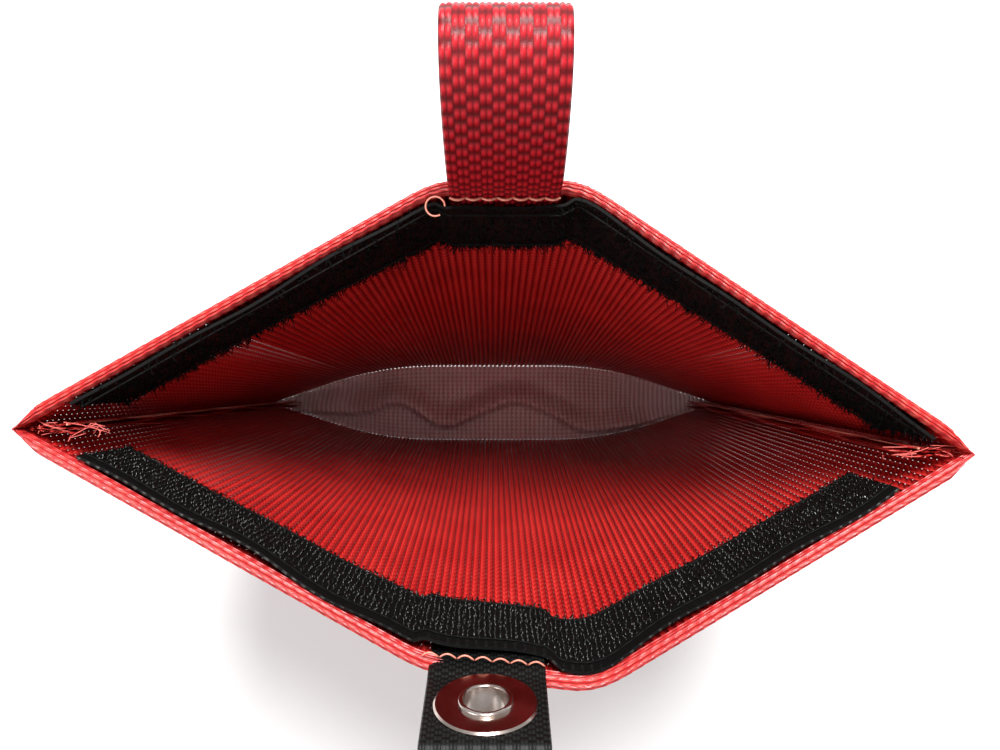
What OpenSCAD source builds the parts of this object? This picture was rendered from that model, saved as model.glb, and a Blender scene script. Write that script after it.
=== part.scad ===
/* [Pouch] */
// Half of the mouth's length, from its middle to a side tip
mouth_half = 107.25; // [106:0.25:109]
// How far the mouth's middle sits to the right of the base's middle
mouth_shift = 1.25; // [0:0.25:2]
// Half of the base's length
base_half = 96; // [94:1:98]
// Half of the base's depth
base_depth_half = 15.5; // [15:0.5:17]
// Height of the rim at the middle of the back
rim_back_z = 190; // [186:1:190]
// Height of the rim at the middle of the front
rim_front_z = 200; // [198:1:204]
// Thickness of the woven mesh
cloth_t = 1; // [0.8:0.1:1]
// Height of the fold that stands in the base
pleat_h = 8; // [4:1:9]

/* [Rim and tapes] */
// Height of the hem that is folded over to the outside
hem_h = 9; // [6:1:12]
// Thickness of the folded hem
hem_t = 1.5; // [1:0.1:1.5]
// Width of the hook tape and of the loop tape
tape_w = 25; // [20:1:26]
// Thickness of either tape's woven backing
backing_t = 0.7; // [0.5:0.1:0.8]
// Thickness of the loop tape's pile
pile_t = 1.8; // [1:0.1:1.8]
// Thickness of the hook tape's hooks
hooks_t = 1.1; // [0.8:0.1:1.2]
// Width of the cloth turned in at each side seam
seam_w = 12; // [8:1:13]

/* [Webbing] */
// Width of the webbing in the hanging loop and in the grommet tab
webbing_w = 25.4; // [24:0.1:25.4]
// Thickness of the webbing
webbing_t = 1.8; // [1.5:0.1:1.8]
// Distance of the hanging loop's middle from the base's middle
loop_x = 4; // [3:0.5:5]
// Height of webbing sewn down at each end
sewn_h = 22; // [15:1:24]
// Length of the tab above the rim
tab_l = 27.4; // [26:0.1:30]
// Angle of the tab from upright
tab_lean = 12.8; // [10:0.1:14]

/* [Grommet] */
// Radius of the hole
bore_r = 4.5; // [4.2:0.1:4.8]
// Radius of the flange
flange_r = 10.7; // [9:0.1:11]
// Thickness of the flange's metal
flange_t = 0.6; // [0.5:0.1:0.8]
// Height of the rolled lip above the flange
lip_h = 1.2; // [0.8:0.1:1.6]
// Half of the straight part of the hole's length
bore_half = 2.9; // [2.7:0.1:3]

/* [Hidden] */

mesh_red = [0.80, 0.16, 0.15];
hem_red = [0.68, 0.09, 0.10];
webbing_red = [0.75, 0.08, 0.16];
tape_black = [0.07, 0.07, 0.08];
pile_black = [0.03, 0.03, 0.03];
metal = [0.62, 0.56, 0.52];
thread_peach = [0.90, 0.55, 0.45];

BACK = 1;
FRONT = -1;
LEFT = -1;
RIGHT = 1;

// Gap between two pieces that lie against each other
touch = 0.1;
// Gap beside a cut between two strips of the front that move past each other
slit = 0.4;
slit_share = slit / 2 / base_half;
thread_t = 0.4;
stitch_l = 2.6;

// Places of the wall's inner face: [share of the half length, distance from the middle]
mouth_back = [[-1, 0], [-0.12, 54.5], [0.19, 54.5], [1, -5.5]];
mouth_front = [[-1, 0], [-0.135, -50.5], [0.21, -55], [1, -5.5]];
base_back = [[-1, 0], [-0.5, base_depth_half], [0.5, base_depth_half], [1, 0]];
base_front = [[-1, 0], [-0.5, -base_depth_half], [0.5, -base_depth_half], [1, 0]];
rim_tip_z = (rim_back_z + rim_front_z) / 2;
tip_y_right = mouth_back[3][1];

// Cuts between the front's strips, as shares of the half length
center_cut = 0.215;
inner_cut = 0.45;
outer_cut = 0.69;
// Shares of the rim's height where the foot ends and the strips begin
foot_top = 0.02;
strip_foot = 0.04;
// How many even columns each wall is made of, before its kinks are added
wall_columns = 40;

loop_tape_x = [-94, 101];
hook_tape_x = [-92, 92];
tape_foot = 1 - tape_w / rim_tip_z;
tape_top = 0.998;
sewn_foot = 1 - sewn_h / rim_tip_z;
hem_foot = 1 - hem_h / rim_tip_z;
hem_out = cloth_t + touch;
ply_out = hem_out + hem_t + touch;
// Shares of the rim's height where every layer of a wall has a row of points
wall_rows = [0.2, 0.4, 0.6, 0.75, tape_foot, sewn_foot, hem_foot];

// Each side seam's flap: its distance inside the tip and half of its thickness
seam_start = 3.2;
seam_half = 0.6;

loop_ends = [loop_x - webbing_w / 2, loop_x + webbing_w / 2];
tab_ends = [-webbing_w / 2, webbing_w / 2];
loop_push = push_over(loop_ends);
hook_push = push_over(tab_ends);
// How far the stitches on the loop's outer end lie below the rim, and from its edges
outer_stitch_drops = [4, 12];
outer_stitch_margin = 3;

// The fold that stands in the base: its half length, its place and its widths
pleat_x = 0.75 * base_half;
pleat_y = 6;
pleat_foot_w = 6;
pleat_top_w = 2;

// Where the tab leaves the rim, and its thickness with both plies
tab_root = [-53.4, rim_front_z + 0.3];
tab_gap = 0.2;
tab_half = webbing_t + tab_gap / 2;
tab_foot = 3.2;
grommet_up = 13.6;
barrel_t = 0.5;

// The loop's middle line in side view, from the inner end over the top to the outer end
loop_line = [
    [53.55, 194.2], [54.6, 199], [56.6, 205.8], [59.2, 212], [62.8, 218.4], [67, 224],
    [71.6, 227.6], [76, 228.6], [79.6, 227.8], [82, 224.8], [83, 220], [82.2, 214.4],
    [79.2, 208.8], [74.6, 204], [69, 199.8], [64.2, 196.4], [60.4, 194.2]
];

function mix(a, b, f) = a + (b - a) * f;
function tip_x(sign, h) = mix(sign * base_half, mouth_shift + sign * mouth_half, h);
function mouth(side) = side == BACK ? mouth_back : mouth_front;
function base(side) = side == BACK ? base_back : base_front;
function steps(from, to, count) = [for (i = [0 : count]) mix(from, to, i / count)];

// The share of the mouth's half length at a distance x from the base's middle
function share(x) = (x - mouth_shift) / mouth_half;
function shares(ends) = [for (x = ends) share(x)];

// How far a tape is pushed in by the webbing sewn under it, against the share
function push_over(ends) =
    let (ramp = 4, margin = 0.5, depth = webbing_t + touch)
    [[share(ends[0] - ramp), 0], [share(ends[0] - margin), depth],
        [share(ends[1] + margin), depth], [share(ends[1] + ramp), 0]];

// A list of numbers in rising order, each once
function sorted(list) =
    len(list) < 2 ? list :
    let (pivot = list[floor(len(list) / 2)])
    concat(
        sorted([for (v = list) if (v < pivot) v]),
        [pivot],
        sorted([for (v = list) if (v > pivot) v])
    );

// Shares where a layer between two shares has a column of points. Layers on one wall
// have the same columns, so that they lie against each other without cutting in.
function columns(side, ends, push) =
    let (corners = [for (p = concat(mouth(side), base(side), push)) p[0]])
    sorted(concat(
        ends,
        [for (s = concat(steps(-1, 1, wall_columns), corners)) if (s > ends[0] && s < ends[1]) s]
    ));
function rows(from, to) = sorted(concat([from, to], [for (h = wall_rows) if (h > from && h < to) h]));

// Height of the rim at a share of the half length
function rim_z(side, s) =
    let (reach = lookup(s, mouth(side)) / lookup(0, mouth(side)))
    mix(rim_tip_z, side == BACK ? rim_back_z : rim_front_z, max(0, min(1, reach)));

// A point of a wall at a share s of the half length and a share h of the rim's height,
// moved outward from the wall's inner face by out
function wall_point(side, s, h, out) = [
    mix(base_half * s, mouth_shift + mouth_half * s, h),
    mix(lookup(s, base(side)), lookup(s, mouth(side)), h) + side * out,
    h * rim_z(side, s)
];
function wall_grid(side, ends, heights, out, push) = [
    for (h = heights) [
        for (s = columns(side, ends, push))
            wall_point(side, s, h, out - (len(push) == 0 ? 0 : lookup(s, push)))
    ]
];

// A closed solid between two grids of points, of which far has the larger y
module slab(near, far) {
    rows = len(near);
    cols = len(near[0]);
    count = rows * cols;
    function at(i, j) = i * cols + j;
    near_faces = [
        for (i = [0 : rows - 2]) for (j = [0 : cols - 2]) each [
            [at(i, j), at(i + 1, j), at(i + 1, j + 1)],
            [at(i, j), at(i + 1, j + 1), at(i, j + 1)]
        ]
    ];
    far_faces = [for (f = near_faces) [f[2] + count, f[1] + count, f[0] + count]];
    around = concat(
        [for (j = [0 : cols - 1]) at(0, j)],
        [for (i = [1 : rows - 1]) at(i, cols - 1)],
        [for (j = [cols - 2 : -1 : 0]) at(rows - 1, j)],
        [for (i = [rows - 2 : -1 : 1]) at(i, 0)]
    );
    edge_faces = [
        for (k = [0 : len(around) - 1])
            let (a = around[k], b = around[(k + 1) % len(around)])
            each [[a, b, b + count], [a, b + count, a + count]]
    ];
    points = [for (grid = [near, far]) for (row = grid) each row];
    polyhedron(points, concat(near_faces, far_faces, edge_faces));
}

// A layer on a wall, from inner to outer distance, between two shares
module wall_layer(side, ends, heights, inner, outer, push = []) {
    low = side == BACK ? inner : outer;
    high = side == BACK ? outer : inner;
    slab(
        wall_grid(side, ends, heights, low, push),
        wall_grid(side, ends, heights, high, push)
    );
}

// One upright strip of the front, between two cuts
module front_strip(from, to) {
    color(mesh_red)
        wall_layer(FRONT, [from + slit_share, to - slit_share], rows(strip_foot, 1), 0, cloth_t);
}

// The part of the front between a cut and a side tip, which stays with the side seam
module front_corner(sign) {
    cut = sign * (outer_cut + slit_share);
    ends = sign == LEFT ? [-1, cut] : [cut, 1];
    color(mesh_red) wall_layer(FRONT, ends, rows(0, 1), 0, cloth_t);
}

// The cloth turned in at a side seam: a flap that runs down inside the pouch
function seam_grid(sign, start, width, y) = [
    for (h = steps(0.04, 0.985, 8)) [
        for (step = sign == LEFT ? [start, start + width] : [start + width, start])
            [
                tip_x(sign, h) - sign * step,
                (sign == RIGHT ? tip_y_right * h : 0) + y,
                h * rim_tip_z
            ]
    ]
];
module side_seam(sign) {
    color(hem_red) slab(
        seam_grid(sign, seam_start, seam_w, -seam_half),
        seam_grid(sign, seam_start, seam_w, seam_half)
    );
}
module side_seam_stitching(sign) {
    color(thread_peach) slab(
        seam_grid(sign, seam_start + 0.6 * seam_w, thread_t, seam_half + touch),
        seam_grid(sign, seam_start + 0.6 * seam_w, thread_t, seam_half + touch + thread_t)
    );
}

// Two rows of thread along a tape's edges
module tape_stitching(side, ends, inner, push) {
    margin = 0.012;
    half_width = 0.001;
    for (h = [tape_foot + margin, tape_top - margin])
        color(tape_black)
            wall_layer(side, shares([ends[0] + 2, ends[1] - 2]), [h - half_width, h + half_width],
                inner - thread_t, inner, push);
}

// A row of stitches across a strip of webbing
module stitch_row(ends, y, z, count) {
    pitch = (ends[1] - ends[0]) / count;
    for (i = [0 : count - 1])
        color(thread_peach)
            translate([ends[0] + (i + 0.5) * pitch - stitch_l / 2, y, z])
                cube([stitch_l, 1.2, thread_t]);
}

// A band that follows a middle line in side view, as its outline
function band_outline(line, half) =
    let (
        last = len(line) - 1,
        normals = [
            for (i = [0 : last])
                let (
                    d = line[min(i + 1, last)] - line[max(i - 1, 0)],
                    n = [-d[1], d[0]] / norm(d)
                )
                n
        ]
    )
    concat(
        [for (i = [0 : last]) line[i] + half * normals[i]],
        [for (i = [last : -1 : 0]) line[i] - half * normals[i]]
    );

// Turns an outline drawn in side view, as [y, z], into a solid from x0 to x1
module across(x0, x1) {
    translate([x0, 0, 0])
        rotate([90, 0, 90])
            linear_extrude(x1 - x0)
                children();
}

// Puts a piece drawn upright on the tab's foot into its leaning place
module on_tab() {
    translate([0, tab_root[0], tab_root[1]])
        rotate([tab_lean, 0, 0])
            children();
}

// Turns a profile of [radius, height] about the grommet's own axis
module round_grommet() {
    on_tab()
        translate([0, 0, grommet_up])
            rotate([-90, 0, 0])
                rotate_extrude($fn = 72)
                    children();
}

function arc(center, radius, from, to, count) = [
    for (i = [0 : count])
        let (a = mix(from, to, i / count))
        center + radius * [cos(a), sin(a)]
];

module back_panel() {
    color(mesh_red) wall_layer(BACK, [-1, 1], rows(0, 1), 0, cloth_t);
}

module base_panel() {
    outline = concat(
        [for (p = base_front) [p[0] * base_half, p[1]]],
        [for (i = [2, 1]) [base_back[i][0] * base_half, base_back[i][1]]]
    );
    color(mesh_red) {
        linear_extrude(cloth_t) offset(delta = -3 * touch) polygon(outline);
        across(-pleat_x, pleat_x)
            polygon([[pleat_y - pleat_foot_w / 2, cloth_t / 2], [pleat_y + pleat_foot_w / 2, cloth_t / 2],
                [pleat_y + pleat_top_w / 2, pleat_h], [pleat_y - pleat_top_w / 2, pleat_h]]);
    }
}

module front_panel_foot() {
    cut = outer_cut - slit_share;
    color(mesh_red) wall_layer(FRONT, [-cut, cut], [0, foot_top], 0, cloth_t);
}

module front_corner_left() { front_corner(LEFT); }
module front_corner_right() { front_corner(RIGHT); }
module front_panel_center() { front_strip(-center_cut, center_cut); }
module front_panel_left_inner() { front_strip(-inner_cut, -center_cut); }
module front_panel_left_outer() { front_strip(-outer_cut, -inner_cut); }
module front_panel_right_inner() { front_strip(center_cut, inner_cut); }
module front_panel_right_outer() { front_strip(inner_cut, outer_cut); }

module hem(side) {
    color(hem_red) wall_layer(side, [-1, 1], rows(hem_foot, 1), hem_out, hem_out + hem_t);
}
module back_hem() { hem(BACK); }
module front_hem() { hem(FRONT); }

module side_seam_left() { side_seam(LEFT); }
module side_seam_right() { side_seam(RIGHT); }
module side_seam_left_stitching() { side_seam_stitching(LEFT); }
module side_seam_right_stitching() { side_seam_stitching(RIGHT); }

module tape_layer(side, ends, outer, thick, push) {
    wall_layer(side, shares(ends), rows(tape_foot, tape_top), outer - thick, outer, push);
}
module loop_tape_backing() {
    color(tape_black) tape_layer(BACK, loop_tape_x, -touch, backing_t, loop_push);
}
module loop_tape_pile() {
    color(pile_black) tape_layer(BACK, loop_tape_x, -2 * touch - backing_t, pile_t, loop_push);
}
module loop_tape_stitching() {
    tape_stitching(BACK, loop_tape_x, -3 * touch - backing_t - pile_t, loop_push);
}
module hook_tape_backing() {
    color(tape_black) tape_layer(FRONT, hook_tape_x, -touch, backing_t, hook_push);
}
module hook_tape_hooks() {
    color(pile_black) tape_layer(FRONT, hook_tape_x, -2 * touch - backing_t, hooks_t, hook_push);
}
module hook_tape_stitching() {
    tape_stitching(FRONT, hook_tape_x, -3 * touch - backing_t - hooks_t, hook_push);
}

// The end of a strip of webbing, sewn against the wall
module sewn_end(side, ends, outer) {
    wall_layer(side, shares(ends), rows(sewn_foot, 1), outer - webbing_t, outer);
}
module hanging_loop() {
    color(webbing_red)
        across(loop_ends[0], loop_ends[1])
            polygon(band_outline(loop_line, webbing_t / 2));
}
module hanging_loop_inner_end() { color(webbing_red) sewn_end(BACK, loop_ends, -touch); }
module hanging_loop_outer_end() { color(webbing_red) sewn_end(BACK, loop_ends, ply_out + webbing_t); }
module hanging_loop_inner_stitching() { stitch_row(loop_ends, 53, rim_back_z + touch, 9); }
module hanging_loop_outer_stitching() {
    ends = shares([loop_ends[0] + outer_stitch_margin, loop_ends[1] - outer_stitch_margin]);
    out = ply_out + webbing_t + touch;
    for (drop = outer_stitch_drops)
        color(thread_peach)
            wall_layer(BACK, ends, [1 - (drop + thread_t) / rim_back_z, 1 - drop / rim_back_z],
                out, out + thread_t);
}

module grommet_tab() {
    top = tab_l - tab_half;
    outline = concat(
        [[tab_half, tab_foot]],
        arc([0, top], tab_half, 0, 180, 16),
        [[-tab_half, tab_foot], [-tab_gap / 2, tab_foot], [-tab_gap / 2, top], [tab_gap / 2, top],
            [tab_gap / 2, tab_foot]]
    );
    hole_r = bore_r + barrel_t + touch;
    color(tape_black)
        on_tab()
            difference() {
                across(tab_ends[0], tab_ends[1]) polygon(outline);
                translate([0, 0, grommet_up])
                    rotate([90, 0, 0])
                        cylinder(r = hole_r, h = 4 * tab_half, center = true, $fn = 72);
            }
}
module grommet_tab_inner_end() { color(tape_black) sewn_end(FRONT, tab_ends, -touch); }
module grommet_tab_outer_end() { color(tape_black) sewn_end(FRONT, tab_ends, ply_out + webbing_t); }
module grommet_tab_stitching() { stitch_row(tab_ends, -51.8, rim_front_z + touch, 7); }

module grommet() {
    face = tab_half + touch;
    lip_r = lip_h / 2;
    lip_y = bore_half;
    flange_y = face + flange_t;
    washer_y = -face - flange_t - touch;
    profile = concat(
        [[bore_r, -bore_half], [bore_r, lip_y]],
        arc([bore_r + lip_r, lip_y], lip_r, 180, 0, 12),
        [[bore_r + 2 * lip_r, flange_y], [flange_r - 0.4, flange_y], [flange_r, face + 0.2],
            [flange_r, face], [bore_r + barrel_t, face], [bore_r + barrel_t, washer_y],
            [bore_r + 2 * lip_r, washer_y], [bore_r + 2 * lip_r, -bore_half]],
        arc([bore_r + lip_r, -bore_half], lip_r, 0, -180, 12)
    );
    color(metal) round_grommet() polygon(profile);
}
module grommet_washer() {
    face = tab_half + touch;
    inner = bore_r + barrel_t + touch;
    color(metal)
        round_grommet()
            polygon([[inner, -face], [flange_r - 0.5, -face], [flange_r - 0.5, -face - 0.2],
                [flange_r - 0.9, -face - flange_t], [inner, -face - flange_t]]);
}

module thread_tail() {
    loop_r = 2.2;
    color(thread_peach)
        translate([loop_ends[0] - loop_r - 1, 50.5, rim_back_z + 1])
            rotate_extrude(angle = 300, $fn = 48)
                translate([loop_r, 0])
                    circle(r = thread_t / 2, $fn = 16);
}

back_panel();
base_panel();
front_panel_foot();
front_corner_left();
front_corner_right();
front_panel_center();
front_panel_left_inner();
front_panel_left_outer();
front_panel_right_inner();
front_panel_right_outer();
back_hem();
front_hem();
side_seam_left();
side_seam_right();
side_seam_left_stitching();
side_seam_right_stitching();
loop_tape_backing();
loop_tape_pile();
loop_tape_stitching();
hook_tape_backing();
hook_tape_hooks();
hook_tape_stitching();
hanging_loop();
hanging_loop_inner_end();
hanging_loop_outer_end();
hanging_loop_inner_stitching();
hanging_loop_outer_stitching();
grommet_tab();
grommet_tab_inner_end();
grommet_tab_outer_end();
grommet_tab_stitching();
grommet();
grommet_washer();
thread_tail();
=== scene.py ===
import math

import bmesh
import bpy
import numpy as np
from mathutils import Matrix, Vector


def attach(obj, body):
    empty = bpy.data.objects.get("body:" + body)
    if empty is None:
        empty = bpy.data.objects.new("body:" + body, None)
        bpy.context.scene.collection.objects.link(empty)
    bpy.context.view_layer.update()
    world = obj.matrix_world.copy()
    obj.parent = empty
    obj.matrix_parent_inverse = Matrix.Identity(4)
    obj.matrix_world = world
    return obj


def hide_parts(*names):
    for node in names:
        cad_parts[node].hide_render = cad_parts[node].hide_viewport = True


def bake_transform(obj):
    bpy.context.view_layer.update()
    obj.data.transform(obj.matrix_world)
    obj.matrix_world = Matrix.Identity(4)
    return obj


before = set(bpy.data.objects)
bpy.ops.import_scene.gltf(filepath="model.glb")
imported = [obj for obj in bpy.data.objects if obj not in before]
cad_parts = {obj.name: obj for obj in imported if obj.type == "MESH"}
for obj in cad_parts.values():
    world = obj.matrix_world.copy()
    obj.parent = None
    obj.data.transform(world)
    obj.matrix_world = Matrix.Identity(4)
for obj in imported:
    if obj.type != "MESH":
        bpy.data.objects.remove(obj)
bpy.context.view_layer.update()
rng = np.random.default_rng(7)

MM = 0.001  # this script works in millimetres, in the frame's axes, and scales once

# ---------------------------------------------------------------- the pouch's driving sizes
MOUTH_HALF, MOUTH_SHIFT, BASE_HALF, BASE_DEPTH = 107.25, 1.25, 96.0, 15.5
RIM_BACK, RIM_FRONT = 190.0, 200.0
RIM_TIP = (RIM_BACK + RIM_FRONT) / 2
HEM_T, CLOTH_T = 1.5, 1.0
TAPE_W = 25.0
WEBBING_W, WEBBING_T = 25.4, 1.8
LOOP_X = 4.0
RIBS = 116
BACK, FRONT = 1, -1

MOUTH = {
    BACK: ([-1, -0.12, 0.19, 1], [0, 54.5, 54.5, -5.5]),
    FRONT: ([-1, -0.135, 0.21, 1], [0, -50.5, -55, -5.5]),
}
BASE = {
    BACK: ([-1, -0.5, 0.5, 1], [0, BASE_DEPTH, BASE_DEPTH, 0]),
    FRONT: ([-1, -0.5, 0.5, 1], [0, -BASE_DEPTH, -BASE_DEPTH, 0]),
}
MOUTH_ROUNDING, BASE_ROUNDING = 0.07, 0.3
# The y of the mouth's left and right tips
TIP_Y = {-1: 0.0, 1: -5.5}

# The sewn ends of the webbing: their depth below the rim, and how far out the outer one lies
SEWN_DEPTH, OUTER_END = 22.0, 3.6
# The tab in side view: its lean in degrees, its root (y, z), its length, the part of that taken up by
# its fold, the height of its hole above the root, and the hole's radius
TAB_LEAN, TAB_ROOT = 12.8, (-53.4, 200.3)
TAB_LENGTH, TAB_FOLD = 27.4, 1.9
TAB_HOLE_UP, TAB_HOLE_R = 13.6, 4.8


def rounded(table, s, reach):
    """The outline's height at s, with its corners rounded over a distance of reach."""
    keys, values = table
    reach = np.minimum(reach, 1 - np.abs(s))
    offsets = np.linspace(-1, 1, 9)
    weights = 1 - offsets**2 + 0.05
    total = sum(w * np.interp(s + o * reach, keys, values) for o, w in zip(offsets, weights))
    return total / weights.sum()


def smooth(a, b, x):
    t = np.clip((x - a) / (b - a), 0, 1)
    return t * t * (3 - 2 * t)


def mix(a, b, t):
    return a + (b - a) * t


def rim_z(side, s):
    peak = RIM_BACK if side == BACK else RIM_FRONT
    top = MOUTH[side][1][1]
    return mix(RIM_TIP, peak, np.clip(rounded(MOUTH[side], s, MOUTH_ROUNDING) / top, 0, 1))


def wall(side, s, h, out=0.0):
    """A point of the wall, moved outward from its inner face by out.

    s runs from -1 at the left tip to 1 at the right one, and h from 0 at the base to 1 at the rim.
    """
    s, h = np.broadcast_arrays(np.asarray(s, float), np.asarray(h, float))
    x = mix(BASE_HALF * s, MOUTH_SHIFT + MOUTH_HALF * s, h)
    low = rounded(BASE[side], s, BASE_ROUNDING)
    high = rounded(MOUTH[side], s, MOUTH_ROUNDING)
    y = mix(low, high, h)
    inside = smooth(0, 0.05, 1 - np.abs(s))
    return np.stack([x, y + side * out * inside, h * rim_z(side, s)], axis=-1)


def share(x, h=1.0):
    return (x - MOUTH_SHIFT * h) / mix(BASE_HALF, MOUTH_HALF, h)


# ---------------------------------------------------------------- mesh helpers
def make(name, points, faces, material, uv=None, smooth_faces=True):
    """A mesh piece from points in millimetres. uv is one pair for each point."""
    mesh = bpy.data.meshes.new(name)
    mesh.from_pydata((np.asarray(points, float).reshape(-1, 3) * MM).tolist(), [], [list(f) for f in faces])
    mesh.validate()
    if uv is not None:
        layer = mesh.uv_layers.new(name="cloth")
        index = np.empty(len(mesh.loops), np.int32)
        mesh.loops.foreach_get("vertex_index", index)
        layer.data.foreach_set("uv", np.asarray(uv, np.float32).reshape(-1, 2)[index].ravel())
    mesh.polygons.foreach_set("use_smooth", np.full(len(mesh.polygons), smooth_faces))
    mesh.update()
    obj = bpy.data.objects.new(name, mesh)
    bpy.context.collection.objects.link(obj)
    obj.data.materials.append(material)
    return obj


def grid_faces(rows, cols, keep=None):
    i, j = np.meshgrid(np.arange(rows - 1), np.arange(cols - 1), indexing="ij")
    a = i * cols + j
    quads = np.stack([a, a + 1, a + cols + 1, a + cols], axis=-1)
    if keep is not None:
        quads = quads[keep]
    return quads.reshape(-1, 4)


def closed_faces(rows, cols):
    """Faces of two grids of one size, the second one behind the first, joined all along their edges."""
    count = rows * cols
    front = grid_faces(rows, cols)
    back = front[:, ::-1] + count
    around = np.concatenate([
        np.arange(cols),
        np.arange(1, rows) * cols + cols - 1,
        (rows - 1) * cols + np.arange(cols - 2, -1, -1),
        np.arange(rows - 2, 0, -1) * cols,
    ])
    ahead = np.roll(around, -1)
    edge = np.stack([around, around + count, ahead + count, ahead], axis=-1)
    return np.concatenate([front, back, edge])


def normals(points):
    """Unit normals of a grid of points."""
    du = np.gradient(points, axis=1)
    dv = np.gradient(points, axis=0)
    n = np.cross(du, dv)
    return n / np.maximum(np.linalg.norm(n, axis=-1, keepdims=True), 1e-9)


# Places across one rib of the mesh cloth
RIB_COLUMNS = 6
# Share of a row's height that the cross yarn fills, before the opening above it
WEFT = 0.86
# The cloth's height at those places, at the foot and at the top of each row's cross yarn, and how far
# each place is shifted along the rib, in rows
RIB_EVEN = np.array([-0.42, -0.20, 0.42, 0.16, 0.02, -0.20])
RIB_ODD = np.array([-0.30, -0.20, 0.02, 0.16, 0.42, -0.20])
RIB_SLANT = np.array([0.0, -0.10, -0.22, 0.0, 0.22, 0.10])


def weave(name, surface, ribs, rows, material, relief=1.0, groove=0.05, holes=True, lean=1.0, closed=0.0):
    """The mesh cloth over surface(u, v): upright ribs of slanted floats, open between the ribs.

    closed is the share of the width, about the middle, where the openings are left shut.
    """
    per = RIB_COLUMNS
    places = np.array([0.0, groove, 0.3, 0.5, 0.7, 1 - groove])
    u = (np.arange(ribs)[:, None] + places[None]).ravel()
    u = np.append(u, ribs)
    which = np.append(np.tile(np.arange(per), ribs), 0)
    v = np.append((np.arange(rows)[:, None] + np.array([0, WEFT])[None]).ravel(), rows)
    uu, vv = np.meshgrid(u, v)
    odd = (np.arange(len(v)) % 2)[:, None]
    height = np.where(odd == 0, RIB_EVEN[which][None], RIB_ODD[which][None]) * relief
    slant = lean * RIB_SLANT[which][None] * np.where((vv > 0.4) & (vv < rows - 0.4), 1, 0)
    base = surface(uu / ribs, np.clip((vv + slant) / rows, 0, 1))
    points = base + normals(base) * height[..., None]
    keep = None
    if holes:
        column = np.arange(len(u) - 1) % per
        between_ribs = (column == 0) | (column == per - 1)
        above_weft = np.arange(len(v) - 1) % 2 == 1
        keep = ~(between_ribs[None, :] & above_weft[:, None])
        keep[:, np.abs(2 * u[:-1] / ribs - 1) < closed] = True
        keep[:, 0] = keep[:, -1] = True
        keep[0, :] = keep[-1, :] = True
    uv = np.stack([uu, vv], axis=-1)
    return make(name, points, grid_faces(*points.shape[:2], keep), material, uv)


def band(name, surface, us, vs, material, thick):
    """A closed band over surface(u, v), whose thickness is measured against the surface's normal."""
    uu, vv = np.meshgrid(us, vs)
    face = surface(uu, vv)
    n = normals(face)
    points = np.concatenate([face.reshape(-1, 3), (face - n * thick).reshape(-1, 3)])
    uv = np.stack([uu, vv], axis=-1).reshape(-1, 2)
    obj = make(name, points, closed_faces(*uu.shape), material, np.concatenate([uv, uv]))
    obj.data.set_sharp_from_angle(angle=math.radians(40))
    return obj


def tubes(name, paths, radius, material, sides=5, flat=1.0):
    """Closed tubes along several paths, all of the same number of points: an array of strands, points, 3."""
    paths = np.asarray(paths, float)
    strands, count, _ = paths.shape
    along = np.gradient(paths, axis=1)
    along /= np.maximum(np.linalg.norm(along, axis=-1, keepdims=True), 1e-9)
    up = np.where(np.abs(along[..., 2:3]) > 0.9, [[[1.0, 0, 0]]], [[[0, 0, 1.0]]])
    side = np.cross(along, up)
    side /= np.maximum(np.linalg.norm(side, axis=-1, keepdims=True), 1e-9)
    third = np.cross(side, along)
    a = np.arange(sides) * 2 * math.pi / sides
    ring = side[..., None, :] * np.cos(a)[:, None] + third[..., None, :] * np.sin(a)[:, None] * flat
    radius = np.broadcast_to(np.asarray(radius, float), (strands, count))
    points = paths[..., None, :] + ring * radius[..., None, None]
    k, i, j = np.meshgrid(np.arange(strands), np.arange(count - 1), np.arange(sides), indexing="ij")
    start = (k * count + i) * sides
    after = (j + 1) % sides
    quads = np.stack([start + j, start + after, start + sides + after, start + sides + j], axis=-1)
    quads = quads.reshape(-1, 4)
    first = np.arange(strands)[:, None] * count * sides
    cap0 = first + np.arange(sides)[None, ::-1]
    cap1 = first + (count - 1) * sides + np.arange(sides)[None]
    faces = quads.tolist() + cap0.tolist() + cap1.tolist()
    return make(name, points, faces, material)


# ---------------------------------------------------------------- materials
def principled(name, color, roughness, **sockets):
    mat = bpy.data.materials.new(name)
    mat.use_nodes = True
    shader = mat.node_tree.nodes["Principled BSDF"]
    shader.inputs["Base Color"].default_value = (*color, 1)
    shader.inputs["Roughness"].default_value = roughness
    for key, value in sockets.items():
        shader.inputs[key.replace("_", " ")].default_value = value
    return mat, mat.node_tree, shader


def math_node(tree, operation, a, b=None, clamp=False):
    n = tree.nodes.new("ShaderNodeMath")
    n.operation = operation
    n.use_clamp = clamp
    for socket, value in zip(n.inputs, (a, b)):
        if value is None:
            continue
        if isinstance(value, (int, float)):
            socket.default_value = value
        else:
            tree.links.new(value, socket)
    return n.outputs[0]


def noise(tree, scale, detail=2.0, vector=None, roughness=0.5):
    n = tree.nodes.new("ShaderNodeTexNoise")
    n.inputs["Scale"].default_value = scale
    n.inputs["Detail"].default_value = detail
    n.inputs["Roughness"].default_value = roughness
    if vector is None:
        vector = tree.nodes.new("ShaderNodeTexCoord").outputs["Object"]
    tree.links.new(vector, n.inputs["Vector"])
    return n.outputs["Fac"]


def ramp(tree, factor, stops):
    n = tree.nodes.new("ShaderNodeValToRGB")
    while len(n.color_ramp.elements) < len(stops):
        n.color_ramp.elements.new(0.5)
    for element, (at, color) in zip(n.color_ramp.elements, stops):
        element.position = at
        element.color = (*color, 1)
    tree.links.new(factor, n.inputs["Fac"])
    return n.outputs["Color"]


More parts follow.
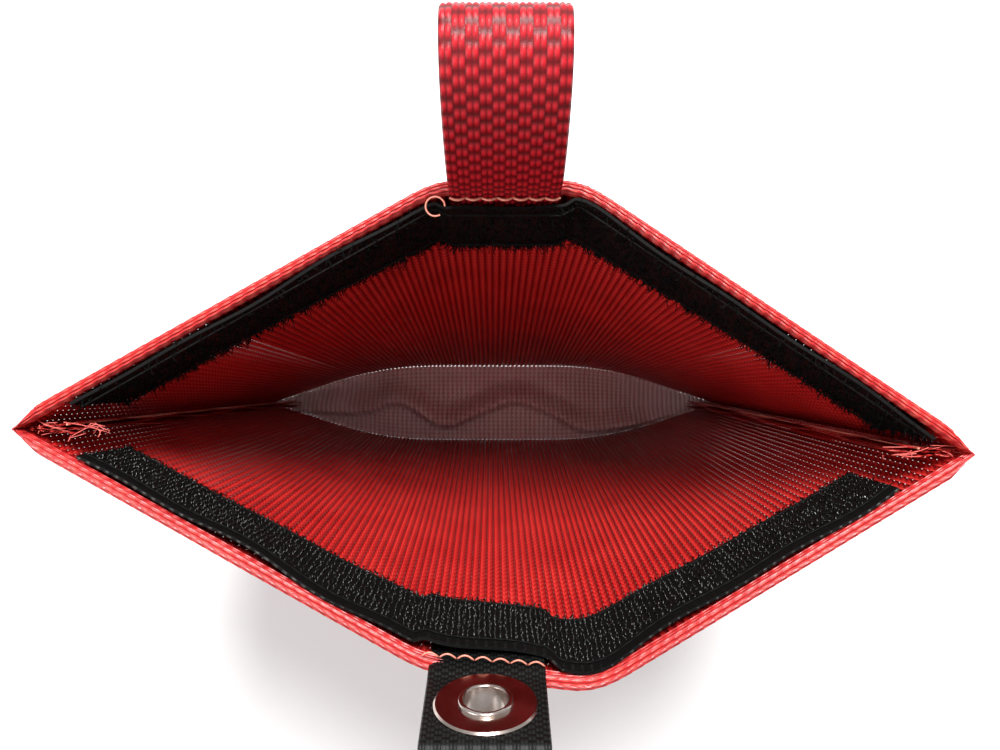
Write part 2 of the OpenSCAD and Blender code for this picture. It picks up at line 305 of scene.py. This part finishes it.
def bump(tree, shader, height, strength, distance):
    n = tree.nodes.new("ShaderNodeBump")
    n.inputs["Strength"].default_value = strength
    n.inputs["Distance"].default_value = distance
    tree.links.new(height, n.inputs["Height"])
    tree.links.new(n.outputs["Normal"], shader.inputs["Normal"])


def cloth_material(name, dark, mid, bright, roughness=0.42):
    """Coated red mesh: painted shade in the grooves between ribs and painted highlights on the slanted
    floats, with slow variation over the cloth.
    """
    mat, tree, shader = principled(name, mid, roughness, Specular_IOR_Level=0.45)
    uv = tree.nodes.new("ShaderNodeUVMap")
    uv.uv_map = "cloth"
    split = tree.nodes.new("ShaderNodeSeparateXYZ")
    tree.links.new(uv.outputs["UV"], split.inputs[0])
    across = math_node(tree, "FRACT", split.outputs["X"])
    # Painted shade darkens the colour into the grooves between ribs; painted highlight lightens it along the
    # crests of the floats.
    rib = math_node(tree, "SINE", math_node(tree, "MULTIPLY", across, math.pi))
    from_middle = math_node(tree, "ABSOLUTE", math_node(tree, "SUBTRACT", across, 0.5))
    turn = math_node(tree, "ADD", split.outputs["Y"], math_node(tree, "MULTIPLY", from_middle, 1.1))
    half = math_node(tree, "MULTIPLY", math_node(tree, "GREATER_THAN", across, 0.5), 0.5)
    phase = math_node(tree, "ADD", turn, half)
    float_wave = math_node(tree, "SINE", math_node(tree, "MULTIPLY", phase, 2 * math.pi))
    lit = math_node(tree, "ADD", math_node(tree, "MULTIPLY", float_wave, 0.22), 0.5)
    shade = math_node(tree, "MULTIPLY", lit, math_node(tree, "POWER", rib, 0.7))
    patches = math_node(tree, "MULTIPLY", math_node(tree, "SUBTRACT", noise(tree, 60, 3), 0.5), 0.35)
    fibres = math_node(tree, "MULTIPLY", math_node(tree, "SUBTRACT", noise(tree, 2600, 2), 0.5), 0.25)
    total = math_node(tree, "ADD", shade, math_node(tree, "ADD", patches, fibres), clamp=True)
    color = ramp(tree, total, [(0.0, dark), (0.45, mid), (0.85, bright)])
    tree.links.new(color, shader.inputs["Base Color"])
    bump(tree, shader, total, 0.5, 0.0004)
    return mat


def fibre_material(name, color, roughness, grain=1800, strength=0.4, variation=0.5, **sockets):
    mat, tree, shader = principled(name, color, roughness, **sockets)
    grain_noise = noise(tree, grain, 3)
    low = tuple(c * (1 - variation) for c in color)
    high = tuple(min(1, c * (1 + variation)) for c in color)
    tree.links.new(ramp(tree, grain_noise, [(0.3, low), (0.7, high)]), shader.inputs["Base Color"])
    bump(tree, shader, grain_noise, strength, 0.0002)
    return mat


def webbing_material(name, dark, bright, roughness, specular):
    """Webbing: painted highlights on the yarns that pass over two warp columns at a time, and painted shade
    in the hollows between them.
    """
    mat, tree, shader = principled(name, bright, roughness, Specular_IOR_Level=specular)
    uv = tree.nodes.new("ShaderNodeUVMap")
    uv.uv_map = "cloth"
    split = tree.nodes.new("ShaderNodeSeparateXYZ")
    tree.links.new(uv.outputs["UV"], split.inputs[0])
    across = math_node(tree, "FRACT", split.outputs["X"])
    # Painted shade darkens the hollows between the yarns; painted highlight lightens the yarns' crowns.
    crown = math_node(tree, "SINE", math_node(tree, "MULTIPLY", across, math.pi))
    pair = math_node(tree, "FLOOR", math_node(tree, "MULTIPLY", split.outputs["X"], 0.5))
    phase = math_node(tree, "ADD", math_node(tree, "MODULO", pair, 2.0), split.outputs["Y"])
    wave = math_node(tree, "COSINE", math_node(tree, "MULTIPLY", phase, math.pi))
    lit = math_node(tree, "ADD", math_node(tree, "MULTIPLY", wave, 0.42), 0.5)
    shade = math_node(tree, "MULTIPLY", lit, math_node(tree, "POWER", crown, 0.5))
    fibres = math_node(tree, "MULTIPLY", math_node(tree, "SUBTRACT", noise(tree, 3200, 3), 0.5), 0.35)
    total = math_node(tree, "ADD", shade, fibres, clamp=True)
    middle = tuple((a + b) / 2 for a, b in zip(dark, bright))
    color = ramp(tree, total, [(0.0, dark), (0.4, middle), (0.85, bright)])
    tree.links.new(color, shader.inputs["Base Color"])
    bump(tree, shader, total, 0.5, 0.0003)
    return mat


def metal_material(name):
    mat, tree, shader = principled(name, (0.55, 0.46, 0.42), 0.2, Metallic=1.0)
    scratches = noise(tree, 900, 4)
    rough = math_node(tree, "ADD", math_node(tree, "MULTIPLY", scratches, 0.16), 0.14)
    tree.links.new(rough, shader.inputs["Roughness"])
    # Brownish base colour, lighter and darker in random patches.
    tone_patches = noise(tree, 160, 3)
    color = ramp(tree, tone_patches, [(0.35, (0.42, 0.33, 0.29)), (0.65, (0.66, 0.58, 0.54))])
    tree.links.new(color, shader.inputs["Base Color"])
    bump(tree, shader, scratches, 0.08, 0.0001)
    return mat


red_cloth = cloth_material("red_mesh", (0.16, 0.001, 0.002), (0.52, 0.012, 0.012), (0.82, 0.07, 0.055))
hem_cloth = cloth_material("red_mesh_hem", (0.25, 0.004, 0.006), (0.62, 0.03, 0.03), (0.90, 0.16, 0.12), 0.32)
# The base is the same red mesh painted in pale pinks: painted light, standing in for the light falling on the
# base.
painted_light_base_cloth = cloth_material("red_mesh_base_painted_light", (0.60, 0.25, 0.25), (0.92, 0.68, 0.66), (1.0, 0.92, 0.90), 0.5)
red_webbing = webbing_material("red_webbing", (0.09, 0.0, 0.002), (0.55, 0.010, 0.020), 0.45, 0.35)
black_tape = fibre_material(
    "black_tape", (0.003, 0.003, 0.003), 0.65, 2200, 0.5, 0.6, Specular_IOR_Level=0.12,
)
black_pile = fibre_material(
    "black_pile", (0.003, 0.003, 0.003), 0.85, 1500, 0.5, 0.7, Specular_IOR_Level=0.12,
)
black_hooks = fibre_material(
    "black_hooks", (0.004, 0.005, 0.004), 0.24, 2500, 0.2, 0.4, Specular_IOR_Level=0.55,
)
black_webbing = webbing_material("black_webbing", (0.001, 0.001, 0.001), (0.010, 0.011, 0.010), 0.5, 0.25)
selvedge_yarn = fibre_material(
    "selvedge_yarn", (0.022, 0.027, 0.024), 0.4, 1700, 0.6, 0.9, Specular_IOR_Level=0.4,
)
fray_yarn = fibre_material("fray_yarn", (0.75, 0.13, 0.11), 0.5, 2500, 0.3, 0.3)
peach_thread = fibre_material("peach_thread", (0.80, 0.28, 0.20), 0.4, 3000, 0.3, 0.25)
metal = metal_material("nickel")

# ---------------------------------------------------------------- camera, floor and light
camera_data = bpy.data.cameras.new("camera")
camera_data.sensor_width = 36
camera_data.lens = 32.4
camera_data.clip_start = 0.01
camera = bpy.data.objects.new("camera", camera_data)
camera.location = (0.00286, 0.0121, 0.396)
bpy.context.collection.objects.link(camera)
bpy.context.scene.camera = camera


def stage_floor():
    half = 3.0
    mesh = bpy.data.meshes.new("floor")
    corners = [(-half, -half, 0), (half, -half, 0), (half, half, 0), (-half, half, 0)]
    mesh.from_pydata(corners, [], [(0, 1, 2, 3)])
    floor = bpy.data.objects.new("floor", mesh)
    floor.location.z = -0.0005
    bpy.context.collection.objects.link(floor)
    mat, _, _ = principled("floor", (0.9, 0.9, 0.9), 0.8)
    mesh.materials.append(mat)


def area_light(name, place, target, size, power):
    data = bpy.data.lights.new(name, "AREA")
    data.shape = "DISK"
    data.size = size
    data.energy = power
    light = bpy.data.objects.new(name, data)
    light.location = place
    direction = np.array(target, float) - np.array(place, float)
    light.rotation_euler = Vector(direction).to_track_quat("-Z", "Y").to_euler()
    bpy.context.collection.objects.link(light)


stage_floor()
area_light("key", (0.1, 0.70, 1.25), (0, 0, 0.15), 0.5, 30)
area_light("fill", (-0.9, -0.4, 0.9), (0, 0, 0.1), 0.9, 7)
world = bpy.data.worlds.new("world")
world.use_nodes = True
world.node_tree.nodes["Background"].inputs["Color"].default_value = (1, 1, 1, 1)
world.node_tree.nodes["Background"].inputs["Strength"].default_value = 0.5
bpy.context.scene.world = world
bpy.context.scene.view_settings.view_transform = "Standard"


def bend_with_front(obj, slot, *nodes):
    """Splits a piece of the front into a left and a right half that meet at the middle, and hides the model's
    nodes that it stands for.
    """
    halves = []
    for sign, side in ((-1, "left"), (1, "right")):
        mesh = obj.data.copy()
        shape = bmesh.new()
        shape.from_mesh(mesh)
        far = [face for face in shape.faces if face.calc_center_median().x * sign < 0]
        bmesh.ops.delete(shape, geom=far, context="FACES")
        shape.to_mesh(mesh)
        shape.free()
        half = bpy.data.objects.new(f"{obj.name}_{side}", mesh)
        bpy.context.collection.objects.link(half)
        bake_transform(half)
        if nodes:
            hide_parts(*nodes)
        halves.append(half)
    bpy.data.objects.remove(obj)
    return halves


def arc_share(side, h, count=400):
    """Maps even cloth distance along the rim to s, so that the ribs keep one pitch."""
    s = np.linspace(-1, 1, count)
    line = wall(side, s, h)
    length = np.concatenate([[0], np.cumsum(np.linalg.norm(np.diff(line, axis=0), axis=1))])
    return s, length / length[-1]


def wall_surface(side, h0, h1, out):
    s_table, length = arc_share(side, 1.0)

    def surface(u, v):
        s = np.interp(u, length, s_table)
        return wall(side, s, mix(h0, h1, v), out)

    return surface


def build_walls():
    rows = 78
    surface = wall_surface(BACK, 0.001, 0.995, CLOTH_T / 2)
    back = weave("back_cloth", surface, RIBS, rows, red_cloth, closed=0.62)
    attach(back, "pouch")
    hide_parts("back_panel")
    front = weave("front_cloth", wall_surface(FRONT, 0.001, 0.995, CLOTH_T / 2), RIBS, rows, red_cloth)
    halves = bend_with_front(
        front, "mesh", "front_panel_center", "front_panel_left_inner", "front_panel_left_outer",
        "front_panel_right_inner", "front_panel_right_outer", "front_corner_left",
        "front_corner_right", "front_panel_foot",
    )


# The line of the fold that lies across the base, seen from above
CREASE = ([-88, -55, -41, -22, 9, 25, 38, 84], [-3, -4, 2, -11, 2, -4, -12, -11])
CREASE_H = 8.0


def base_surface(u, v):
    s = 2 * u - 1
    low = rounded(BASE[FRONT], s, BASE_ROUNDING) - 0.4
    high = rounded(BASE[BACK], s, BASE_ROUNDING) + 0.4
    y = mix(low, high, v)
    x = BASE_HALF * s
    crease = sum(np.interp(x + d, *CREASE) for d in (-5, -2.5, 0, 2.5, 5)) / 5
    past = y - crease
    ridge = CREASE_H * smooth(-2.2, 0, past) * (1 - smooth(0, 11, past))
    inside = smooth(0, 0.2, 1 - np.abs(s)) * smooth(0, 0.12, np.minimum(v, 1 - v))
    ripple = 0.7 * np.sin(x * 0.17 + 0.5) * np.cos(y * 0.35)
    edge_lift = 1.2 * (1 - smooth(0, 0.1, np.minimum(v, 1 - v)))
    return np.stack([x, y, 1.4 + edge_lift + (ridge + ripple) * inside], axis=-1)


def build_base():
    base = weave("painted_light_base_cloth", base_surface, 96, 18, painted_light_base_cloth, relief=0.6, groove=0.15)
    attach(base, "pouch")
    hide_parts("base_panel")


def hem_surface(side):
    s_table, length = arc_share(side, 1.0)
    inner, outer = -0.1, CLOTH_T + HEM_T
    radius = (outer - inner) / 2
    down, fold = 9.0, math.pi * radius
    total = 1.5 + fold + down

    def surface(u, v):
        s = np.interp(u, length, s_table)
        along = v * total
        angle = np.clip((along - 1.5) / radius, 0, math.pi)
        out = inner + radius * (1 - np.cos(angle))
        lift = radius * np.sin(angle) - np.clip(1.5 - along, 0, None) - np.clip(along - 1.5 - fold, 0, None)
        top = rim_z(side, s)
        h = 1 + (lift - radius + 0.3) / top
        return wall(side, s, h, out)

    return surface


def build_hems():
    for side, name, node in ((BACK, "back_hem_fold", "back_hem"), (FRONT, "front_hem_fold", "front_hem")):
        surface = hem_surface(side)
        hem = weave(
            name, lambda u, v: surface(1 - v, u), 15, 78, hem_cloth,
            relief=0.5, groove=0.12, holes=False, lean=1.8,
        )
        if side == FRONT:
            bend_with_front(hem, "hem", node)
        else:
            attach(hem, "pouch")
            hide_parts(node)


# ---------------------------------------------------------------- tapes
LOOP_TAPE, HOOK_TAPE = (-94.0, 101.0), (-92.0, 92.0)


def push_over(x, middle, half, depth):
    return depth * smooth(-half - 4, -half - 0.5, x - middle) * (1 - smooth(half + 0.5, half + 4, x - middle))


def tape_surface(side, ends, out, middle, wave, depth=1.9):
    """The tape's inner face: u along it, v from its lower edge to the rim, waving between its stitches."""

    def surface(u, v):
        x = mix(ends[0], ends[1], u)
        s = share(x)
        sag = wave * (0.5 + 0.5 * np.sin(x * 0.16 + 1.0) * np.sin(x * 0.045 + 0.4))
        h = 1 - (TAPE_W * (1 - v) + 0.6 + 0.8 * sag) / rim_z(side, s)
        inward = push_over(x, middle, WEBBING_W / 2, depth) + sag * smooth(0.2, 1.0, v)
        return wall(side, s, h, out - inward)

    return surface


def build_loop_tape():
    surface = tape_surface(BACK, LOOP_TAPE, -0.75, LOOP_X, 1.0)
    us, vs = np.linspace(0, 1, 240), np.linspace(0, 1, 17)
    backing = band("loop_tape_woven", surface, us, vs, black_tape, -0.7)
    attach(backing, "pouch")
    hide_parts("loop_tape_backing")
    count = 9000
    u, v = rng.random(count), rng.uniform(-0.03, 1.0, count)
    edge = rng.random(count) < 0.25
    v = np.where(edge, rng.uniform(-0.05, 0.03, count), v)
    root = surface(u, v)
    across = np.array([0, -1.0, -0.1]) + rng.normal(0, 0.4, (count, 3))
    across /= np.linalg.norm(across, axis=1, keepdims=True)
    drift = rng.normal(0, 0.8, (count, 3))
    t = np.linspace(0, 1, 4)[None, :, None]
    reach = rng.uniform(0.8, 1.9, count)[:, None, None]
    paths = root[:, None] + across[:, None] * reach * np.sin(t * 2.2) + drift[:, None] * t * 1.1
    pile = tubes("loop_tape_fibres", paths, 0.13, black_pile, sides=3)
    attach(pile, "pouch")
    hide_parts("loop_tape_pile")


def build_hook_tape():
    surface = tape_surface(FRONT, HOOK_TAPE, -0.75, 0.0, 1.6)
    us, vs = np.linspace(0, 1, 240), np.linspace(0, 1, 17)
    backing = band("hook_tape_woven", surface, us, vs, black_tape, 0.7)
    bend_with_front(backing, "tape", "hook_tape_backing")
    rows, per_row = 150, 19
    u, v = np.meshgrid((np.arange(rows) + 0.5) / rows, np.arange(per_row) / per_row * 0.86, indexing="ij")
    u = (u + rng.normal(0, 0.0008, u.shape)).ravel()
    v = (v + rng.normal(0, 0.010, v.shape)).ravel()
    root = surface(u, np.maximum(v, 0.0))
    tip = surface(u + rng.normal(0, 0.002, u.shape), v - rng.uniform(0.03, 0.06, v.shape))
    t = np.linspace(0, math.pi * 1.1, 6)
    rise = np.array([0, 1.0, 0.15]) * rng.uniform(0.8, 1.25, (len(u), 1))
    paths = (
        root[:, None]
        + (tip - root)[:, None] * (0.5 - 0.5 * np.cos(t))[None, :, None]
        + rise[:, None] * (1.1 * np.sin(np.minimum(t, 2.6)))[None, :, None]
    )
    hooks = tubes("hook_tape_field", paths, 0.19, black_hooks, sides=4)
    bend_with_front(hooks, "hooks", "hook_tape_hooks")
    along = np.linspace(0, 1, 260)
    cords = np.stack([
        surface(along, np.full_like(along, v)) + np.array([0, 0.25, 0.1]) for v in (0.90, 0.94, 0.98)
    ])
    wobble = 0.42 + 0.10 * np.sin(np.arange(260) * 2.1)
    selvedge = tubes("hook_tape_selvedge", cords, wobble[None], selvedge_yarn, sides=7)
    bend_with_front(selvedge, "tape")
    rows = np.stack([
        surface(along, np.full_like(along, v)) + np.array([0, 1.0, 0.1]) for v in (0.06, 0.87)
    ])
    dashes = 0.2 + 0.1 * np.sin(np.arange(260) * 1.57)
    thread = tubes("hook_tape_thread", rows, dashes[None], black_tape, sides=6)
    bend_with_front(thread, "black_thread", "hook_tape_stitching")


# ---------------------------------------------------------------- webbing
def webbing(name, line, x0, x1, material, column=1.25, row=1.75, relief=0.34):
    """A closed strip of webbing along a side-view line, with its weave raised on both faces."""
    line = np.asarray(line, float)
    length = np.concatenate([[0], np.cumsum(np.linalg.norm(np.diff(line, axis=0), axis=1))])
    rows = int(length[-1] / row * 3)
    along = np.linspace(0, length[-1], rows + 1)
    y, z = np.interp(along, length, line[:, 0]), np.interp(along, length, line[:, 1])
    dy, dz = np.gradient(y), np.gradient(z)
    size = np.hypot(dy, dz)
    ny, nz = -dz / size, dy / size
    columns = int(round((x1 - x0) / column))
    sub = np.linspace(0, columns, columns * 3 + 1)
    which = np.minimum(sub.astype(int), columns - 1)
    crown = np.sin((sub - which) * math.pi) ** 0.6
    parity = (which // 2) % 2
    phase = (along[:, None] / row + parity[None]) * math.pi
    height = relief * crown[None] * (0.55 + 0.45 * np.cos(phase)) - relief * 0.5
    other = relief * crown[None] * (0.55 - 0.45 * np.cos(phase)) - relief * 0.5
    edge = np.minimum(sub, columns - sub) / 1.2
    thin = (WEBBING_T / 2) * (0.55 + 0.45 * np.clip(edge, 0, 1) ** 0.5)[None]
    xs = np.broadcast_to(mix(x0, x1, sub / columns), height.shape)

    def face(sign, h):
        offset = sign * (thin + h)
        return np.stack([xs, y[:, None] + ny[:, None] * offset, z[:, None] + nz[:, None] * offset], axis=-1)

    top, bottom = face(1, height), face(-1, other)
    points = np.concatenate([top.reshape(-1, 3), bottom.reshape(-1, 3)])
    uv = np.stack(np.broadcast_arrays(sub[None], along[:, None] / row), axis=-1).reshape(-1, 2)
    uv = np.concatenate([uv, uv + np.array([0, 1.0])])
    return make(name, points, closed_faces(*height.shape), material, uv)


def curve_through(points):
    """A smooth line through side-view points, as a Catmull-Rom curve."""
    p = np.asarray(points, float)
    p = np.concatenate([[2 * p[0] - p[1]], p, [2 * p[-1] - p[-2]]])
    out = []
    for i in range(1, len(p) - 2):
        t = np.linspace(0, 1, 14, endpoint=False)[:, None]
        a, b, c, d = p[i - 1], p[i], p[i + 1], p[i + 2]
        square = (2 * a - 5 * b + 4 * c - d) * t**2
        cube = (3 * b - a - 3 * c + d) * t**3
        out.append(0.5 * (2 * b + (c - a) * t + square + cube))
    out.append(p[-2][None])
    return np.concatenate(out)


def build_hanging_loop():
    low = wall(BACK, share(LOOP_X), 1 - SEWN_DEPTH / RIM_BACK)
    outer = wall(BACK, share(LOOP_X), 1 - SEWN_DEPTH / RIM_BACK, OUTER_END)
    line = curve_through([
        (low[1] - 0.95, low[2]), (53.5, 190), (54.6, 199), (56.6, 205.8), (59.2, 212), (62.8, 218.4),
        (67, 224), (71.6, 227.6), (76, 228.6), (79.6, 227.8), (82, 224.8), (83, 220), (82.2, 214.4),
        (79.2, 208.8), (74.6, 204), (69, 199.8), (64.2, 196.4), (60.0, 192.6), (58.0, 188.6),
        (outer[1], outer[2]),
    ])
    x0, x1 = LOOP_X - WEBBING_W / 2, LOOP_X + WEBBING_W / 2
    strap = webbing("hanging_loop_webbing", line, x0, x1, red_webbing)
    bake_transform(strap)
    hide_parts("hanging_loop", "hanging_loop_inner_end", "hanging_loop_outer_end")


def cut_hole(obj, center, axis, radius, length):
    """Cuts a round hole through a piece, along axis."""
    center, axis = np.array(center), np.array(axis) / np.linalg.norm(axis)
    sides = 48
    a = np.arange(sides) * 2 * math.pi / sides
    across = np.array([1.0, 0, 0])
    third = np.cross(axis, across)
    ring = radius * (np.cos(a)[:, None] * across + np.sin(a)[:, None] * third)
    points = np.concatenate([center + ring - axis * length / 2, center + ring + axis * length / 2])
    faces = [[i, (i + 1) % sides, (i + 1) % sides + sides, i + sides] for i in range(sides)]
    faces += [list(range(sides))[::-1], list(range(sides, 2 * sides))]
    cutter = make("cutter", points, faces, obj.data.materials[0], smooth_faces=False)
    modifier = obj.modifiers.new("hole", "BOOLEAN")
    modifier.operation = "DIFFERENCE"
    modifier.solver = "MANIFOLD"
    modifier.object = cutter
    graph = bpy.context.evaluated_depsgraph_get()
    mesh = bpy.data.meshes.new_from_object(obj.evaluated_get(graph))
    obj.modifiers.clear()
    obj.data = mesh
    bpy.data.objects.remove(cutter)


def scallops(name, start, end, count, sag, radius, material):
    """A row of stitches from start to end, each bowed by the vector sag."""
    start, end, sag = np.array(start, float), np.array(end, float), np.array(sag, float)
    t = np.linspace(0.04, 0.96, 9)
    paths = []
    for i in range(count):
        along = (i + t) / count
        bow = np.sin(t * math.pi)
        dip = np.array([0, 0, 0.5]) * (1 - bow[:, None])
        paths.append(start + (end - start) * along[:, None] + sag * bow[:, None] - dip)
    return tubes(name, paths, radius, material, sides=8)


def build_stitches():
    x0, x1 = LOOP_X - WEBBING_W / 2, LOOP_X + WEBBING_W / 2
    loop = scallops(
        "hanging_loop_stitches", (x0, 52.6, 191), (x1, 52.6, 191), 7, (0, -0.7, 0.3), 0.3, peach_thread,
    )
    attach(loop, "pouch")
    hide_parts("hanging_loop_inner_stitching")
    half = WEBBING_W / 2
    tab = scallops(
        "grommet_tab_stitches", (-half - 1.5, -48.8, 201.4), (half, -51.2, 201.4), 7,
        (0, 1.2, 0.3), 0.2, peach_thread,
    )
    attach(tab, "front")
    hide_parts("grommet_tab_stitching")


def build_frays():
    """Loose yarn ends that stick out of each side seam's top."""
    for sign, name in ((-1, "left"), (1, "right")):
        tip_y = TIP_Y[sign]
        count = 26
        inward = rng.uniform(3, 20, count)
        start = np.stack([
            MOUTH_SHIFT + sign * (MOUTH_HALF - inward),
            tip_y + rng.normal(0, 0.8, count),
            RIM_TIP - rng.uniform(2, 6, count),
        ], axis=-1)
        lean = np.stack([
            sign * rng.uniform(-2.0, 6.0, count),
            rng.normal(0, 0.9, count),
            rng.uniform(0.2, 2.0, count),
        ], axis=-1)
        t = np.linspace(0, 1, 5)[None, :, None]
        curl = rng.normal(0, 0.6, (count, 1, 3))
        paths = start[:, None] + lean[:, None] * t + curl * t**2
        tuft = tubes(f"side_seam_{name}_fray", paths, 0.1, fray_yarn, sides=5)
        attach(tuft, "pouch")


def build_tab():
    lean = math.radians(TAB_LEAN)
    root = np.array(TAB_ROOT)
    up = np.array([-math.sin(lean), math.cos(lean)])
    inward = np.array([math.cos(lean), math.sin(lean)])
    half = WEBBING_T / 2 + 0.1
    top = TAB_LENGTH - TAB_FOLD
    bend_z, inner_bend, outer_bend = 195, -51.15, -55.7
    low = wall(FRONT, share(0.0), 1 - SEWN_DEPTH / RIM_FRONT)
    outer = wall(FRONT, share(0.0), 1 - SEWN_DEPTH / RIM_FRONT, OUTER_END)
    points = [(low[1] + 0.95, low[2]), (low[1] * 0.25 + inner_bend * 0.75, bend_z)]

    def on_tab(aside, height):
        return tuple(root + inward * half * aside + up * height)

    points += [on_tab(*place) for place in ((1.6, 0.5), (1, 4), (1, 10), (1, 18), (1, top))]
    points += [on_tab(math.cos(a), top + half * math.sin(a)) for a in (0.8, 1.57, 2.34)]
    points += [on_tab(*place) for place in ((-1, top), (-1, 18), (-1, 10), (-1, 4), (-2, 0))]
    points += [(outer[1] * 0.25 + outer_bend * 0.75, bend_z), (outer[1], outer[2])]
    tab = webbing(
        "grommet_tab_webbing", curve_through(points), -WEBBING_W / 2, WEBBING_W / 2, black_webbing,
        column=0.75, row=0.9, relief=0.14,
    )
    center = root + up * TAB_HOLE_UP
    cut_hole(tab, (0, center[0], center[1]), (0, inward[0], inward[1]), radius=TAB_HOLE_R, length=14)
    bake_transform(tab)
    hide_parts("grommet_tab", "grommet_tab_inner_end", "grommet_tab_outer_end")


def build_seams():
    for sign, name, node in ((-1, "left", "side_seam_left"), (1, "right", "side_seam_right")):
        tip_y = TIP_Y[sign]
        flaps = []
        for layer, (offset, wide) in enumerate(((-0.9, 11.0), (0.0, 12.0), (0.9, 10.5))):
            def surface(u, v, offset=offset, wide=wide, sign=sign, tip_y=tip_y):
                h = mix(0.03, 0.985, v)
                tip = mix(sign * BASE_HALF, MOUTH_SHIFT + sign * MOUTH_HALF, h)
                x = tip - sign * (2.0 + wide * u)
                wave = 0.5 * np.sin(v * 19 + offset * 3) * u
                return np.stack([x, tip_y * h + offset * (0.3 + 0.7 * u) + wave, h * RIM_TIP], axis=-1)
            flap = weave(f"side_seam_{name}_ply{layer}", surface, 5, 70, hem_cloth, relief=0.4, holes=False)
            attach(flap, "pouch")
            flaps.append(flap)
        for flap in flaps:
            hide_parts(node)


build_walls()
build_base()
build_hems()
build_loop_tape()
build_hook_tape()
build_hanging_loop()
build_tab()
build_stitches()
build_seams()
build_frays()

plain = {
    "side_seam_left_stitching": peach_thread, "side_seam_right_stitching": peach_thread,
    "loop_tape_stitching": black_tape,
    "hanging_loop_outer_stitching": peach_thread, "thread_tail": peach_thread,
    "grommet": metal, "grommet_washer": metal,
}
for node, material in plain.items():
    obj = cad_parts[node]
    for item in obj.material_slots:
        item.material = material
